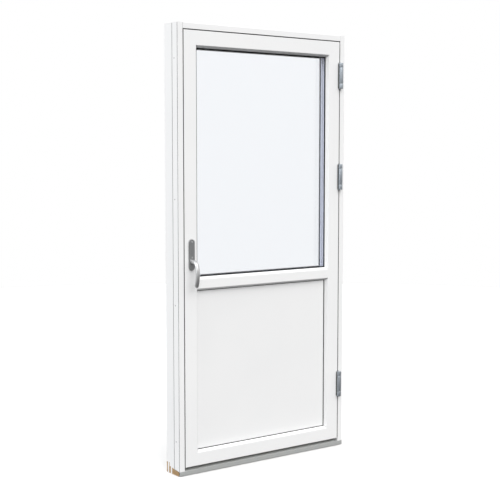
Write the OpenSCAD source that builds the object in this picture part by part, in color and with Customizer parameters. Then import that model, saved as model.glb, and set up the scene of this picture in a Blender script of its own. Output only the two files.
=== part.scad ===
// Outward-opening glazed patio door in its frame: timber leaf with a triple
// pane over a flat panel, rack-driven three-point lock and loose-pin hinges.
// x runs to the right seen from outside, y into the wall, z up. The origin is
// the middle of the underside of the threshold.

/* [Frame] */
// Overall width of the frame
frame_w = 990; // [890:10:1190]
// Overall height of the frame
frame_h = 2090; // [1990:10:2390]
// Depth of the frame from the outside face to the inside face
frame_d = 115; // [105:1:150]
// Width of the frame face that shows beside the leaf
jamb_face = 28; // [24:1:40]
// Width of the stop that the leaf closes against, from the outer edge
stop_face = 50; // [46:1:62]
// Depth of the recess that the leaf closes into
recess_d = 62; // [60:0.5:70]
// Gap between the frame and the leaf on both sides and at the top
leaf_gap = 4; // [3:0.5:5]
// Width of the shadow grooves in the outer sides of the jambs
groove_w = 3.5; // [1.5:0.5:4]
// Depth of the shadow grooves
groove_d = 8; // [2:0.5:8]
// Distance of the rear shadow groove behind the outside face
groove_at = 46.5; // [40:0.5:60]
// Radius of the small rounded timber edges
arris_r = 2; // [1:0.5:3]

/* [Threshold] */
// Height of the rear upstand of the threshold
upstand_h = 50; // [44:1:60]
// Height of the timber at the front of the threshold
nose_h = 18; // [14:1:22]
// Height of the sloping timber where the recess ends
slope_h = 28.4; // [24:0.2:32]
// Setback of the threshold timber behind the outside face
nose_setback = 8; // [5:1:12]
// Height of the front edge of the aluminium cover
cover_h = 22.3; // [22:0.1:26]
// Sheet thickness of the aluminium cover
cover_t = 2; // [1.5:0.5:3]
// Depth of the aluminium cover
cover_d = 46; // [36:1:54]

/* [Leaf] */
// Height of the underside of the leaf above the floor
leaf_low = 38.5; // [36:0.5:44]
// Width of the flat face of the stiles and the top rail
stile_face = 67; // [60:1:90]
// Width of the flat face of the bottom rail
bottom_face = 62; // [56:1:90]
// Height of the middle of the mid rail
mid_z = 896.5; // [700:0.5:1200]
// Width of the flat face of the mid rail
mid_face = 44; // [40:1:80]
// Thickness of the front part of the leaf, which closes into the recess
leaf_front_t = 58; // [56:0.5:60]
// Whole thickness of the leaf timber
leaf_t = 78; // [76:1:84]
// Setback of the rear part of the leaf behind the leaf edge
leaf_step = 22; // [22:1:28]
// Depth of the sloping lip in front of the glass
lip_d = 18; // [16:1:20]
// Distance that the lip slopes inward
lip_run = 9.5; // [6:0.5:14]
// Width of the shelf behind the arris that the lip stands on
lip_root = 10; // [8:1:12]
// Radius of the arris between the face and the sloping lip
lip_r = 3; // [1:0.5:4]

/* [Glass and panel] */
// Thickness of each glass pane
pane_t = 4; // [3:1:4]
// Width of each gas space between the panes
gas_t = 14; // [12:1:14]
// Thickness of each face sheet of the lower panel
panel_skin_t = 4; // [3:1:6]
// Thickness of the glazing gaskets
gasket_t = 3; // [2:0.5:3]
// Distance that the front gasket shows beyond the lip
gasket_show = 4.5; // [1:0.5:5]
// Gasket that shows beyond the lip round the panel
panel_gasket_show = 2; // [1:0.5:5]
// Clearance between the rebate floor and the edge of the glass
edge_gap = 5; // [3:0.5:6]
// Width of the spacer bars
spacer_w = 8; // [6:1:10]
// Width of the seal around the edge of the panes
edge_seal_w = 8; // [6:1:9]

/* [Hinges] */
// Heights of the middles of the three hinges
hinge_z = [324, 1384.2, 1890];
// Radius of the hinge knuckles
knuckle_r = 10; // [8:0.5:10]
// Length of the upper frame knuckle
knuckle_top = 22; // [18:1:30]
// Length of the leaf knuckle
knuckle_mid = 79.5; // [60:0.5:90]
// Length of the lower frame knuckle
knuckle_low = 27; // [20:1:34]
// Radius of the hinge pins
pin_r = 4; // [3:0.5:5]
// Distance of the hinge axis in front of the outside face
axis_out = 11; // [10.5:0.5:14]
// Thickness of the hinge plates
plate_t = 2; // [1.5:0.5:3]
// Depth of the hinge plates behind the outside face
plate_d = 40; // [34:1:50]
// Thickness of the bearing washers
washer_t = 1; // [0.6:0.2:2]

/* [Handle] */
// Distance of the lever axis from the outer edge of the frame
lever_inset = 69; // [67:1:72]
// Height of the lever axis
lever_z = 1002; // [960:1:1080]
// Length of the handle plates
plate_h = 141.5; // [130:0.5:170]
// Width of the outer handle plate
plate_w = 26.5; // [26:1:32]
// Width of the inner handle plate, which has to pass the frame stop
inner_plate_w = 26; // [22:1:26]
// Thickness of the handle plates
handle_plate_t = 8; // [6:0.5:10]
// Height of the middle of the plate above the lever axis
plate_rise = 32.2; // [20:0.1:40]
// Radius of the lever neck where it turns in the plate
neck_r = 10; // [8:0.5:10]
// Radius of the round lever bar
lever_r = 9.8; // [6:0.2:9.8]
// Distance of the lever neck in front of the leaf where the bend begins
neck_out = 22.5; // [20:0.5:30]
// Radius of the bend out of the neck
bend_r = 25; // [16:1:30]
// Angle of the bend out of the neck
bend_angle = 71; // [60:1:80]
// Radius of the long curve of the grip
grip_r = 130; // [100:5:400]
// Angle of the long curve of the grip
grip_angle = 40.8; // [15:0.2:50]
// Side of the square spindle
spindle_s = 8; // [7:1:9]

/* [Lock] */
// Depth of the middle of the lock behind the outside face
lock_d = 30; // [29:0.5:32]
// Heights of the middles of the three bolts
bolt_z = [300, 1060, 1790];
// Throw of the bolts into the strike plates
bolt_throw = 12; // [10:1:13]
// Width of each bolt across the leaf
bolt_t = 10; // [8:1:10]
// Height of each bolt
bolt_h = 18; // [14:1:22]
// Radius of the drive pin of each bolt
drive_pin_r = 2; // [1.5:0.5:2]
// Height of the lower end of the drive rod
rod_low = 262; // [240:1:270]
// Height of the upper end of the drive rod
rod_high = 1850; // [1825:1:1860]
// Thickness of the drive rod
rod_t = 2.4; // [2:0.2:2.6]
// Width of the faceplate
face_w = 24; // [24:1:28]
// Thickness of the faceplate
face_t = 3; // [2:0.5:3]
// Height of the lower end of the faceplate
face_low = 210; // [180:1:230]
// Height of the upper end of the faceplate
face_high = 1890; // [1870:1:1900]
// Module of the pinion teeth
gear_m = 1.5; // [1.5:0.1:1.5]
// Number of teeth on the pinion
gear_n = 15; // [15:1:15]

/* [Clearances and fixings] */
// Clearance of the bolts in their guides and of the rod in its groove
slide_gap = 0.3; // [0.2:0.05:0.5]
// Radial clearance of turning shafts in their bores
run_gap = 0.05; // [0.02:0.01:0.1]
// Clearance of a seal from the part that moves away from it
seal_gap = 0.3; // [0.2:0.1:0.6]
// Play between the pinion and the rack teeth
backlash = 0.25; // [0.15:0.05:0.4]
// Radius of the holes for the frame fixings
fixing_r = 3; // [2.5:0.5:4]
// Distance of the end fixings from the top and from the floor
fixing_end = 160; // [120:10:200]
// Distance of the inner fixings from the top and from the floor
fixing_inner = 800; // [700:10:840]

/* [Hidden] */
$fn = 48;
eps = 1;                                  // overcut of open cuts
half_w = frame_w / 2;
leaf_edge = half_w - jamb_face - leaf_gap;
leaf_top = frame_h - jamb_face - leaf_gap;
stop_x = half_w - stop_face;
fixing_depth = recess_d / 2;
corner_lip = 1.8;

// Threshold slope and cover slope as heights at a depth
slope = (slope_h - nose_h) / (recess_d - nose_setback);
function wood_top(d) = nose_h + slope * (d - nose_setback);
cover_rise = (wood_top(cover_d) + cover_t - cover_h) / cover_d;
function cover_top(d) = cover_h + cover_rise * d;
cover_low = 2;
cover_leg = 2;
kerf_gap = 0.2;
leg_from = cover_d - 2 * cover_leg;
leg_low = wood_top(leg_from) - 8;

// Joint fingers at the threshold ends, as depths behind the outside face
end_slope_to = recess_d + 7;
tenon_low = [end_slope_to + 11, frame_d - 20];
tenon_low_h = upstand_h - 18;
tenon_high_from = tenon_low[1] - 5;
tenon_back_from = frame_d - 9;

// Head tenon that shows on the outer side of each jamb
head_tenon_d = [recess_d + 2, frame_d - 5];
head_tenon_z = [frame_h - stop_face + 2, frame_h - 4];

// Frame seal: stem in the stop, bulb in the gap behind the leaf
seal_at = 41;
seal_low = leaf_low + 6;
stem_w = 3.6;
stem_d = 5;
bulb_w = 8;
seal_x = half_w - seal_at;
seal_top = frame_h - seal_at;

// Leaf sections, measured from the leaf edge inward
lip_flat = 1.5;
mitre_shift = stile_face - bottom_face;
rebate_u = stile_face - lip_root;
rebate_x = leaf_edge - rebate_u;
mid_low = mid_z - mid_face / 2;
mid_high = mid_z + mid_face / 2;

// Openings inside the rebate floors: half width, lower and upper height
glass_zone = [rebate_x, mid_high - lip_root, leaf_top - rebate_u];
panel_zone = [rebate_x, leaf_low + bottom_face - lip_root, mid_low + lip_root];
lip_in = lip_root + lip_run;
unit_t = 3 * pane_t + 2 * gas_t;
unit_d = lip_d + gasket_t;
unit_back = unit_d + unit_t;
bead_d = unit_back + gasket_t;
bead_chamfer = 3.5;
block_l = 100;
block_at = 0.5;

// Hinge axis and knuckle heights
axis_x = leaf_edge + leaf_gap / 2 - 0.3;
hinge_h = knuckle_top + knuckle_mid + knuckle_low;
knuckle_gap = 0.4;
knuckle_chamfer = 1;
function hinge_low(z) = z - hinge_h / 2;
function mid_from(z) = hinge_low(z) + knuckle_low;
function mid_to(z) = mid_from(z) + knuckle_mid;
pin_head_r = 6;
pin_head_h = 1.5;

// Wood screws
wood_screw_r = 2;
wood_screw_l = 22;
screw_head_r = 4;
screw_head_h = 2;

// Lock set-out
lever_x = lever_inset - half_w;
bolt_d = lock_d - 0.5;
case_t = 18;
case_wall = 1.5;
case_from = -leaf_edge + face_t;
case_to = lever_x + 15;
case_low = lever_z - 32;
case_high = bolt_z[1] + 22;
pocket_gap = 0.3;
groove_t = 16;
rod_d = bolt_d + bolt_t / 2 + 0.5;
gear_r = gear_m * gear_n / 2;
rod_travel = gear_r * PI / 2;
rack_x = lever_x - gear_r;
addendum = 0.9 * gear_m;
dedendum = 1.25 * gear_m;
rod_from = case_from + slide_gap;
rod_to = rack_x - dedendum;
slot_gap = 0.15;
drive_pin_x = rod_from + drive_pin_r + 1.5;
bolt_from = -leaf_edge - bolt_throw;
bolt_to = drive_pin_x + drive_pin_r + 2.5;
strike_h = 90;
strike_t = 2;
strike_gap = 1.5;
pinion_t = 2.6;
hub_r = 8;
plate_screw_r = 2.5;
plate_screw_z = [lever_z + 20, lever_z + 91];
strike_pocket = bolt_throw - leaf_gap + 4;

white = [0.94, 0.94, 0.93];
steel = [0.62, 0.64, 0.67];
grey_metal = [0.66, 0.67, 0.69];
rubber_black = [0.1, 0.1, 0.11];
oak = [0.66, 0.5, 0.3];
clear_glass = [0.85, 0.9, 0.97, 0.4];

// ---- shared shapes -------------------------------------------------------

function unit(v) = v / norm(v);
function corner_half(p, a, b) = acos(unit(a - p) * unit(b - p)) / 2;
function arc_centre(p, a, b, r) = p + unit(unit(a - p) + unit(b - p)) * r / sin(corner_half(p, a, b));

// Points of a closed outline whose corners have the given radii
function rounded(pts, radii, steps = 5) = [
    for (i = [0 : len(pts) - 1])
        let (
            p = pts[i],
            a = pts[(i + len(pts) - 1) % len(pts)],
            b = pts[(i + 1) % len(pts)],
            r = radii[i]
        )
        each (r == 0 ? [p] : corner_arc(p, a, b, r, steps))
];

// Points of one rounded corner, from the side of a to the side of b
function corner_arc(p, a, b, r, steps) =
    let (
        c = arc_centre(p, a, b, r),
        t = r / tan(corner_half(p, a, b)),
        from = p + unit(a - p) * t - c,
        to = p + unit(b - p) * t - c,
        start = atan2(from[1], from[0]),
        turn = ((atan2(to[1], to[0]) - start + 540) % 360) - 180
    )
    [for (k = [0 : steps]) c + r * [cos(start + turn * k / steps), sin(start + turn * k / steps)]];

// Everything is drawn with its depth measured from the outside face
module placed() translate([0, -frame_d / 2, 0]) children();

// Extrudes an outline drawn in x and depth from one height to another
module upright(z0, z1) translate([0, 0, z0]) linear_extrude(z1 - z0) children();

// Extrudes an outline drawn in depth and height from one x to another
module across(x0, x1) translate([x0, 0, 0]) rotate([90, 0, 90]) linear_extrude(x1 - x0) children();

// Extrudes an outline drawn in x and height from one depth to another
module through(d0, d1) translate([0, d1, 0]) rotate([90, 0, 0]) linear_extrude(d1 - d0) children();

// Box between two corners
module box(low, high) translate(low) cube(high - low);

// Rod along the depth, between two depths
module bar_y(x, z, d0, d1, r) translate([x, d0, z]) rotate([-90, 0, 0]) cylinder(r = r, h = d1 - d0);

// Rod along x, between two places
module bar_x(x0, x1, d, z, r) translate([x0, d, z]) rotate([0, 90, 0]) cylinder(r = r, h = x1 - x0);

// Rectangular ring inside a zone, between two distances in from its edge
module zone_ring(zone, in0, in1, d0, d1) difference() {
    zone_sheet(zone, in0, d0, d1);
    zone_sheet(zone, in1, d0 - eps, d1 + eps);
}

// Sheet that fills a zone up to a distance in from its edge
module zone_sheet(zone, in0, d0, d1)
    box([-zone[0] + in0, d0, zone[1] + in0], [zone[0] - in0, d1, zone[2] - in0]);

// ---- frame ---------------------------------------------------------------

module jamb_outline() difference() {
    polygon(rounded(
        [[0, 0], [jamb_face, 0], [jamb_face, recess_d], [stop_face, recess_d],
         [stop_face, frame_d], [0, frame_d]],
        [arris_r, arris_r, 0, arris_r / 2, arris_r, arris_r / 2]));
    translate([-eps, groove_at]) square([groove_d + eps, groove_w]);
    translate([-eps, corner_lip]) square([groove_d / 2 + eps, groove_w]);
}

// Section of the threshold ends, which the jambs are scribed over
module threshold_end_outline() {
    polygon([[nose_setback, 0], [nose_setback, nose_h],
             [end_slope_to, wood_top(end_slope_to)], [end_slope_to, 0]]);
    translate([tenon_low[0], 0]) square([tenon_low[1] - tenon_low[0], tenon_low_h]);
    translate([tenon_high_from, 0]) square([tenon_low[1] - tenon_high_from, upstand_h]);
    translate([tenon_back_from, 0]) square([frame_d - tenon_back_from, upstand_h]);
}

// Room at the foot of each jamb for the threshold and its cover
module jamb_foot() across(-half_w - eps, half_w + eps) {
    threshold_end_outline();
    polygon([[-eps, -eps], [-eps, cover_top(-eps)], [cover_d, cover_top(cover_d)],
             [cover_d, wood_top(cover_d)], [end_slope_to, wood_top(end_slope_to)],
             [end_slope_to, -eps]]);
    translate([frame_d - eps, -eps]) square([2 * eps, upstand_h + eps]);
}

module head_tenons()
    box([-half_w, head_tenon_d[0], head_tenon_z[0]], [half_w, head_tenon_d[1], head_tenon_z[1]]);

// Screws into the wall, through the recess behind the leaf edge
module fixing_holes() for (z = [fixing_end, fixing_inner, frame_h - fixing_inner, frame_h - fixing_end])
    bar_x(-half_w - eps, half_w + eps, fixing_depth, z, fixing_r);

module jamb_blank(side) difference() {
    upright(0, frame_h) mirror([side > 0 ? 1 : 0, 0]) translate([-half_w, 0]) jamb_outline();
    jamb_foot();
    head_tenons();
    fixing_holes();
    seal_stem();
}

module left_jamb() color(white) placed() difference() {
    jamb_blank(-1);
    for (z = bolt_z) {
        strike_blank(z);
        strike_opening(z, strike_pocket);
        strike_screw_bodies(z);
    }
}

module right_jamb() color(white) placed() difference() {
    jamb_blank(1);
    for (z = hinge_z) {
        box([half_w - jamb_face - eps, -eps, hinge_low(z)],
            [half_w - jamb_face + plate_t, plate_d, hinge_low(z) + hinge_h]);
        frame_screw_bodies(z);
    }
}

module head() color(white) placed() {
    difference() {
        union() {
            across(-half_w + jamb_face, half_w - jamb_face) head_front_outline();
            box([-stop_x, recess_d, frame_h - stop_face], [stop_x, frame_d, frame_h]);
            head_tenons();
        }
        seal_stem();
    }
}

module head_front_outline() polygon(rounded(
    [[0, frame_h - jamb_face], [recess_d, frame_h - jamb_face], [recess_d, frame_h], [0, frame_h]],
    [arris_r, 0, 0, arris_r]));

module threshold() color(oak) placed() difference() {
    union() {
        across(-half_w, half_w) threshold_end_outline();
        across(-stop_x, stop_x) polygon(rounded(
            [[nose_setback, 0], [nose_setback, nose_h], [recess_d, slope_h],
             [recess_d, upstand_h], [frame_d, upstand_h], [frame_d, 0]],
            [0, 0, 0, arris_r, arris_r / 2, 0]));
    }
    box([-half_w - eps, leg_from - kerf_gap, leg_low - 0.5],
        [half_w + eps, leg_from + cover_leg + kerf_gap, upstand_h]);
    seal_stem();
}

module threshold_cover() color(grey_metal) placed() across(-half_w, half_w) polygon([
    [0, cover_low], [nose_setback, cover_low], [nose_setback, cover_low + cover_t],
    [cover_t, cover_low + cover_t], [cover_t, cover_top(cover_t) - cover_t],
    [leg_from, cover_top(leg_from) - cover_t], [leg_from, leg_low],
    [leg_from + cover_leg, leg_low],
    [leg_from + cover_leg, cover_top(leg_from + cover_leg) - cover_t],
    [cover_d, cover_top(cover_d) - cover_t], [cover_d, cover_top(cover_d)], [0, cover_h]
]);

module seal_loop(w, d0, d1) difference() {
    box([-seal_x - w / 2, d0, seal_low - w / 2], [seal_x + w / 2, d1, seal_top + w / 2]);
    box([-seal_x + w / 2, d0 - eps, seal_low + w / 2], [seal_x - w / 2, d1 + eps, seal_top - w / 2]);
}

module seal_stem() seal_loop(stem_w, recess_d, recess_d + stem_d);

module frame_seal() color(rubber_black) placed() {
    union() {
        seal_stem();
        seal_loop(bulb_w, leaf_front_t + seal_gap, recess_d);
    }
}

// ---- strikes in the left jamb --------------------------------------------

module strike_blank(z)
    box([-half_w + jamb_face - strike_t, lock_d - face_w / 2, z - strike_h / 2],
        [-half_w + jamb_face + eps, lock_d + face_w / 2, z + strike_h / 2]);

module strike_opening(z, deep)
    box([-half_w + jamb_face - deep, bolt_d - bolt_t / 2 - strike_gap, z - bolt_h / 2 - strike_gap],
        [-half_w + jamb_face + eps, bolt_d + bolt_t / 2 + strike_gap, z + bolt_h / 2 + strike_gap]);

// Countersunk screw that points along -x from its head at x
module screw_to_left(x, d, z) {
    bar_x(x - wood_screw_l, x, d, z, wood_screw_r);
    translate([x - screw_head_h, d, z]) rotate([0, 90, 0])
        cylinder(r1 = wood_screw_r, r2 = screw_head_r, h = screw_head_h);
}

module screw_to_right(x, d, z) mirror([1, 0, 0]) screw_to_left(-x, d, z);

module strike_screw_bodies(z) for (s = [-1, 1])
    screw_to_left(-half_w + jamb_face, lock_d, z + s * (strike_h / 2 - 12));

module strike_plates() color(steel) placed() for (z = bolt_z) difference() {
    intersection() {
        strike_blank(z);
        box([-half_w, 0, z - strike_h], [-half_w + jamb_face, frame_d, z + strike_h]);
    }
    strike_opening(z, strike_pocket);
    strike_screw_bodies(z);
}

module strike_screws() color(steel) placed() for (z = bolt_z) strike_screw_bodies(z);

// ---- hinges --------------------------------------------------------------

// Knuckle around the hinge axis with chamfered ends
module knuckle(z0, z1, bore) translate([axis_x, -axis_out, z0]) difference() {
    rotate_extrude() polygon([
        [0, 0], [knuckle_r - knuckle_chamfer, 0], [knuckle_r, knuckle_chamfer],
        [knuckle_r, z1 - z0 - knuckle_chamfer], [knuckle_r - knuckle_chamfer, z1 - z0], [0, z1 - z0]
    ]);
    translate([0, 0, -eps]) cylinder(r = bore, h = z1 - z0 + 2 * eps);
}

// Flat neck from a knuckle to its plate, stopped at the pin bore
module neck(x, z0, z1, bore) difference() {
    box([x, -axis_out, z0], [x + plate_t, 0, z1]);
    translate([axis_x, -axis_out, z0 - eps]) cylinder(r = bore + 0.5, h = z1 - z0 + 2 * eps);
}

module frame_screw_bodies(z) for (s = [-1, 1], d = [12, plate_d - 12])
    screw_to_right(half_w - jamb_face, d, z + s * (hinge_h / 2 - (d < 20 ? 12 : 30)));

module leaf_screw_bodies(z) for (s = [-1, 1], d = [12, plate_d - 12])
    screw_to_left(leaf_edge, d, (mid_from(z) + mid_to(z)) / 2 + s * (d < 20 ? 28 : 12));

module hinge_frame_plate(z) color(steel) placed() difference() {
    x = half_w - jamb_face;
    lower = [hinge_low(z), mid_from(z) - knuckle_gap];
    upper = [mid_to(z) + knuckle_gap, hinge_low(z) + hinge_h];
    union() {
        box([x, 0, hinge_low(z)], [x + plate_t, plate_d, hinge_low(z) + hinge_h]);
        for (k = [lower, upper]) {
            knuckle(k[0], k[1], pin_r);
            neck(x, k[0] + knuckle_chamfer, k[1] - knuckle_chamfer, pin_r);
        }
    }
    frame_screw_bodies(z);
    pin_body(z);
}

module hinge_leaf_plate(z) color(steel) placed() difference() {
    x = leaf_edge - plate_t;
    from = mid_from(z) + washer_t;
    union() {
        box([x, 0, from], [leaf_edge, plate_d, mid_to(z)]);
        knuckle(from, mid_to(z), pin_r + run_gap);
        neck(x, from + knuckle_chamfer, mid_to(z) - knuckle_chamfer, pin_r + run_gap);
    }
    leaf_screw_bodies(z);
    translate([axis_x, -axis_out, from - eps]) cylinder(r = pin_r + run_gap, h = knuckle_mid + 2 * eps);
}

// Pin with a low head that sits on each end of the hinge
module pin_body(z) translate([axis_x, -axis_out, 0]) {
    translate([0, 0, hinge_low(z)]) cylinder(r = pin_r, h = hinge_h);
    translate([0, 0, hinge_low(z) + hinge_h - pin_head_h]) cylinder(r = pin_head_r, h = pin_head_h);
    translate([0, 0, hinge_low(z)]) cylinder(r = pin_head_r, h = pin_head_h);
}

module hinge_pins() color(steel) placed() for (z = hinge_z) pin_body(z);

module hinge_washers() color(steel) placed() for (z = hinge_z)
    translate([axis_x, -axis_out, mid_from(z) - knuckle_gap]) difference() {
        cylinder(r = knuckle_r - knuckle_chamfer, h = knuckle_gap + washer_t - 0.1);
        translate([0, 0, -eps]) cylinder(r = pin_r + run_gap, h = washer_t + 3 * eps);
    }

module frame_hinge_screws() color(steel) placed() for (z = hinge_z) frame_screw_bodies(z);
module leaf_hinge_screws() color(steel) placed() for (z = hinge_z) leaf_screw_bodies(z);

// ---- leaf timber ---------------------------------------------------------

// Section of a stile or rail, from the leaf edge inward and from the face back
function member(face, step) = rounded(
    [[0, 0], [face, 0], [face + lip_run, lip_d - lip_flat], [face + lip_run, lip_d],
     [face - lip_root, lip_d], [face - lip_root, leaf_t], [step, leaf_t], [step, leaf_front_t],
     [0, leaf_front_t]],
    [arris_r, lip_r, 0, 0, 0, arris_r / 2, arris_r / 2, 0, arris_r / 2]);

function swapped(pts) = [for (p = pts) [p[1], p[0]]];

module stile_blank(side) upright(leaf_low, leaf_top)
    mirror([side > 0 ? 1 : 0, 0]) translate([-leaf_edge, 0]) polygon(member(stile_face, leaf_step));

// Outlines in x and height that give each stile and rail its mitred ends
mitre = stile_face + lip_run + 20;
module left_mitre() polygon([
    [-leaf_edge, leaf_low], [-leaf_edge + mitre_shift, leaf_low],
    [-leaf_edge + mitre_shift + mitre, leaf_low + mitre],
    [-leaf_edge + mitre, leaf_top - mitre], [-leaf_edge, leaf_top]
]);
module top_mitre() polygon([
    [-leaf_edge, leaf_top], [leaf_edge, leaf_top],
    [leaf_edge - mitre, leaf_top - mitre], [-leaf_edge + mitre, leaf_top - mitre]
]);
module bottom_mitre() polygon([
    [-leaf_edge + mitre_shift, leaf_low], [leaf_edge - mitre_shift, leaf_low],
    [leaf_edge - mitre_shift - mitre, leaf_low + mitre],
    [-leaf_edge + mitre_shift + mitre, leaf_low + mitre]
]);

// Dowels across the four mitres and into the ends of the mid rail
dowel_r = 5;
dowel_l = 60;
corner_dowel_in = 38;
corner_dowel_d = [14, 46];
rail_dowel_d = [30, 62];
module dowel_bodies() {
    for (s = [-1, 1], d = corner_dowel_d) {
        translate([s * (leaf_edge - corner_dowel_in), d, leaf_top - corner_dowel_in])
            rotate([0, s * 45, 0]) cylinder(r = dowel_r, h = dowel_l, center = true);
        translate([s * (leaf_edge - corner_dowel_in), d, leaf_low + corner_dowel_in - mitre_shift])
            rotate([0, -s * 45, 0]) cylinder(r = dowel_r, h = dowel_l, center = true);
    }
    for (s = [-1, 1], d = rail_dowel_d)
        bar_x(s * rebate_x - dowel_l / 2, s * rebate_x + dowel_l / 2, d, mid_z, dowel_r);
}

module lock_stile() color(white) placed() difference() {
    intersection() {
        stile_blank(-1);
        through(-eps, leaf_t + eps) left_mitre();
    }
    dowel_bodies();
    faceplate_blank(eps);
    faceplate_screw_bodies();
    // groove for the rod, pockets for the bolts and the case
    box([-leaf_edge - eps, lock_d - groove_t / 2, rod_low - rod_travel - 4],
        [rod_to + 0.6, lock_d + groove_t / 2, rod_high + 4]);
    for (z = bolt_z)
        box([-leaf_edge - eps, lock_d - groove_t / 2, z - bolt_h / 2 - 2.5],
            [bolt_to + bolt_throw + 1, lock_d + groove_t / 2, z + bolt_h / 2 + 2.5]);
    box([-leaf_edge - eps, lock_d - case_t / 2 - pocket_gap, case_low - pocket_gap],
        [case_to + pocket_gap, lock_d + case_t / 2 + pocket_gap, case_high + pocket_gap]);
    bar_y(lever_x, lever_z, -eps, leaf_t + eps, neck_r + 1);
    for (z = plate_screw_z) bar_y(lever_x, z, -eps, leaf_t + eps, plate_screw_r + 0.2);
}

module hinge_stile() color(white) placed() difference() {
    intersection() {
        stile_blank(1);
        through(-eps, leaf_t + eps) mirror([1, 0]) left_mitre();
    }
    dowel_bodies();
    for (z = hinge_z) {
        box([leaf_edge - plate_t, -eps, mid_from(z) + washer_t], [leaf_edge + eps, plate_d, mid_to(z)]);
        leaf_screw_bodies(z);
    }
}

module top_rail() color(white) placed() difference() {
    intersection() {
        across(-leaf_edge, leaf_edge) translate([0, leaf_top]) mirror([0, 1])
            polygon(swapped(member(stile_face, leaf_step)));
        through(-eps, leaf_t + eps) top_mitre();
    }
    dowel_bodies();
}

module bottom_rail() color(white) placed() difference() {
    intersection() {
        across(-leaf_edge, leaf_edge) translate([0, leaf_low])
            polygon(swapped(member(bottom_face, leaf_step - mitre_shift)));
        through(-eps, leaf_t + eps) bottom_mitre();
    }
    dowel_bodies();
}

// The mid rail is scribed over the lips of the stiles
module mid_rail() color(white) placed() difference() {
    across(-rebate_x, rebate_x) polygon(rounded(
        [[0, mid_low], [0, mid_high], [lip_d - lip_flat, mid_high + lip_run],
         [lip_d, mid_high + lip_run], [lip_d, mid_high - lip_root], [leaf_t, mid_high - lip_root],
         [leaf_t, mid_low + lip_root], [lip_d, mid_low + lip_root], [lip_d, mid_low - lip_run],
         [lip_d - lip_flat, mid_low - lip_run]],
        [lip_r, lip_r, 0, 0, 0, 0, 0, 0, 0, 0]));
    stile_blank(-1);
    stile_blank(1);
    dowel_bodies();
}

module joint_dowels() color(oak) placed() dowel_bodies();

// ---- glass, panel and beads ----------------------------------------------

module pane(k) color(clear_glass) placed() {
    d = unit_d + k * (pane_t + gas_t);
    zone_sheet(glass_zone, edge_gap, d, d + pane_t);
}

module spacer(k) color([0.75, 0.77, 0.84]) placed() {
    d = unit_d + pane_t + k * (pane_t + gas_t);
    zone_ring(glass_zone, edge_gap + edge_seal_w, edge_gap + edge_seal_w + spacer_w, d, d + gas_t);
}

module outer_pane() pane(0);
module middle_pane() pane(1);
module inner_pane() pane(2);
module outer_spacer() spacer(0);
module inner_spacer() spacer(1);

module edge_sealant() color(rubber_black) placed() for (k = [0, 1]) {
    d = unit_d + pane_t + k * (pane_t + gas_t);
    zone_ring(glass_zone, edge_gap, edge_gap + edge_seal_w, d, d + gas_t);
}

module gasket_front(zone, show) color(rubber_black) placed()
    zone_ring(zone, edge_gap, lip_in + show, lip_d, unit_d);

module gasket_back(zone, show) color(rubber_black) placed()
    zone_ring(zone, edge_gap, lip_in + show, unit_back, bead_d);

module glass_gasket_front() gasket_front(glass_zone, gasket_show);
module glass_gasket_back() gasket_back(glass_zone, gasket_show);
module panel_gasket_front() gasket_front(panel_zone, panel_gasket_show);
module panel_gasket_back() gasket_back(panel_zone, panel_gasket_show);

// Bead section, from the rebate floor inward and from the gasket back
bead_points = rounded(
    [[0, bead_d], [lip_in, bead_d], [lip_in, bead_d + bead_chamfer],
     [lip_in - bead_chamfer, leaf_t], [0, leaf_t]],
    [0, 0, 1, 1, 0]);

module bead_top(zone) color(white) placed() across(-zone[0], zone[0])
    translate([0, zone[2]]) mirror([0, 1]) polygon(swapped(bead_points));
module bead_bottom(zone) color(white) placed() across(-zone[0], zone[0])
    translate([0, zone[1]]) polygon(swapped(bead_points));
module side_beads(zone) color(white) placed() for (s = [0, 1])
    upright(zone[1] + lip_in, zone[2] - lip_in)
        mirror([s, 0]) translate([-zone[0], 0]) polygon(bead_points);

module glass_bead_top() bead_top(glass_zone);
module glass_bead_bottom() bead_bottom(glass_zone);
module glass_side_beads() side_beads(glass_zone);
module panel_bead_top() bead_top(panel_zone);
module panel_bead_bottom() bead_bottom(panel_zone);
module panel_side_beads() side_beads(panel_zone);

module panel_front_sheet() color(white) placed()
    zone_sheet(panel_zone, edge_gap, unit_d, unit_d + panel_skin_t);
module panel_core() color([0.8, 0.85, 0.9]) placed()
    zone_sheet(panel_zone, edge_gap, unit_d + panel_skin_t, unit_back - panel_skin_t);
module panel_back_sheet() color(white) placed()
    zone_sheet(panel_zone, edge_gap, unit_back - panel_skin_t, unit_back);

// Plastic blocks that carry the glass and the panel in their rebates
module setting_blocks() color([0.3, 0.32, 0.35]) placed() for (zone = [glass_zone, panel_zone]) {
    d0 = unit_d + pane_t;
    d1 = unit_back - pane_t;
    for (s = [-1, 1]) {
        x = s * zone[0] * block_at;
        box([x - block_l / 2, d0, zone[1]], [x + block_l / 2, d1, zone[1] + edge_gap]);
        for (z = [zone[1] + block_l, zone[2] - 2 * block_l])
            box([s > 0 ? zone[0] - edge_gap : -zone[0], d0, z],
                [s > 0 ? zone[0] : -zone[0] + edge_gap, d1, z + block_l]);
    }
}

// ---- lock ----------------------------------------------------------------

// Outline of the faceplate, drawn in depth and height, with round ends
module faceplate_outline() {
    r = face_w / 2;
    translate([lock_d - r, face_low + r]) square([face_w, face_high - face_low - face_w]);
    for (z = [face_low + r, face_high - r]) translate([lock_d, z]) circle(r);
}

module faceplate_blank(over) across(-leaf_edge - over, -leaf_edge + face_t) faceplate_outline();

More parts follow.
